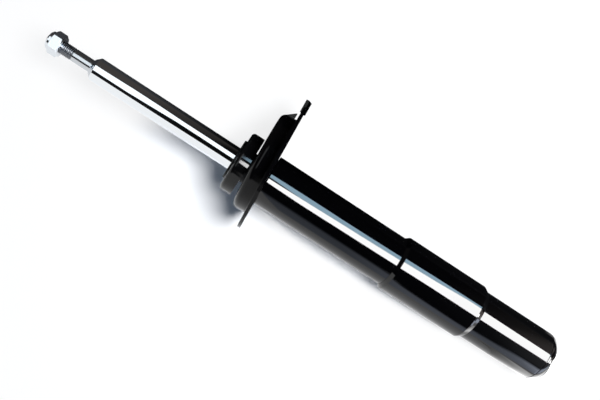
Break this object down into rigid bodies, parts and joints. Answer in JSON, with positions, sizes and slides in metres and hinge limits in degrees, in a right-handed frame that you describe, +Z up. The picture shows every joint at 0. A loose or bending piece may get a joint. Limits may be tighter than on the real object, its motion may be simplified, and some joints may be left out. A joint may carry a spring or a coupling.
{
  "type": "suspension strut",
  "caption": "Front suspension strut: chromed rod with stepped stud and lock nut, collar, tilted offset spring seat, black tube with a thick clamp sleeve and a rounded closed end.",
  "frame": {"origin": "on the floor, under the middle of the strut's bounding box as it lies at rest", "axes": "+Z up; +X from the closed bottom end towards the nut, along the strut's axis as seen from above; +Y away from the spring seat's tab. The strut's own axis slopes up towards the nut by 5.77 degrees, because it lies on the flat of the seat's flange and on its rounded end."},
  "size_m": [0.5354, 0.1289, 0.1155],
  "materials": {
    "tube_paint": "gloss black paint",
    "seat_paint": "semi-gloss black dip coat",
    "collar_nylon": "moulded, glossy",
    "wiper_rubber": "satin",
    "rod_chrome": "ground and hard-chromed",
    "nut_zinc": "zinc plated",
    "turned_steel": "turned, oiled",
    "drawn_steel": "cold drawn",
    "sintered_iron": "sintered",
    "spring_steel": "ground strip",
    "bush_bronze": "bronze lined",
    "band_plastic": "filled low-friction plastic",
    "seal_rubber": "moulded"
  },
  "bodies": {
    "strut_body": {"outer_tube": "tube_paint", "bottom_cap": "tube_paint", "clamp_sleeve": "tube_paint", "spring_seat": "seat_paint", "seat_hub": "turned_steel", "top_gland": "turned_steel", "stop_collar": "collar_nylon", "dust_wiper": "wiper_rubber", "rod_seal": "seal_rubber", "seal_spring": "spring_steel", "rod_guide": "sintered_iron", "guide_bush": "bush_bronze", "pressure_tube": "drawn_steel", "base_valve": "sintered_iron", "base_shims": "spring_steel", "base_rivet": "turned_steel", "base_spring": "spring_steel"},
    "band": {"piston_band": "band_plastic"},
    "rod": {"piston_rod": "rod_chrome", "top_nut": "nut_zinc", "rebound_stop": "turned_steel", "rebound_buffer": "seal_rubber", "valve_stop": "turned_steel", "check_spring": "spring_steel", "piston": "sintered_iron", "rebound_shims": "spring_steel", "shim_washer": "turned_steel", "piston_nut": "turned_steel"},
    "check_plate": {"check_plate": "spring_steel"},
    "intake_plate": {"intake_plate": "spring_steel"}
  },
  "joints": [
    {"name": "rod_slide", "type": "slide", "parent": "strut_body", "child": "band", "axis": [0.9949, 0, 0.1006], "range_m": [-0.14, 0], "stiffness_N_per_m": 150, "springref_m": 0.7},
    {"name": "rod_spin", "type": "hinge", "parent": "band", "child": "rod", "pos_m": [0.03454, 0.01517, 0.05307], "axis": [0.9949, 0, 0.1006], "continuous": true},
    {"name": "check_lift", "type": "slide", "parent": "rod", "child": "check_plate", "axis": [0.9949, 0, 0.1006], "range_m": [0, 0.001], "stiffness_N_per_m": 200},
    {"name": "intake_lift", "type": "slide", "parent": "strut_body", "child": "intake_plate", "axis": [0.9949, 0, 0.1006], "range_m": [0, 0.001], "stiffness_N_per_m": 200}
  ]
}
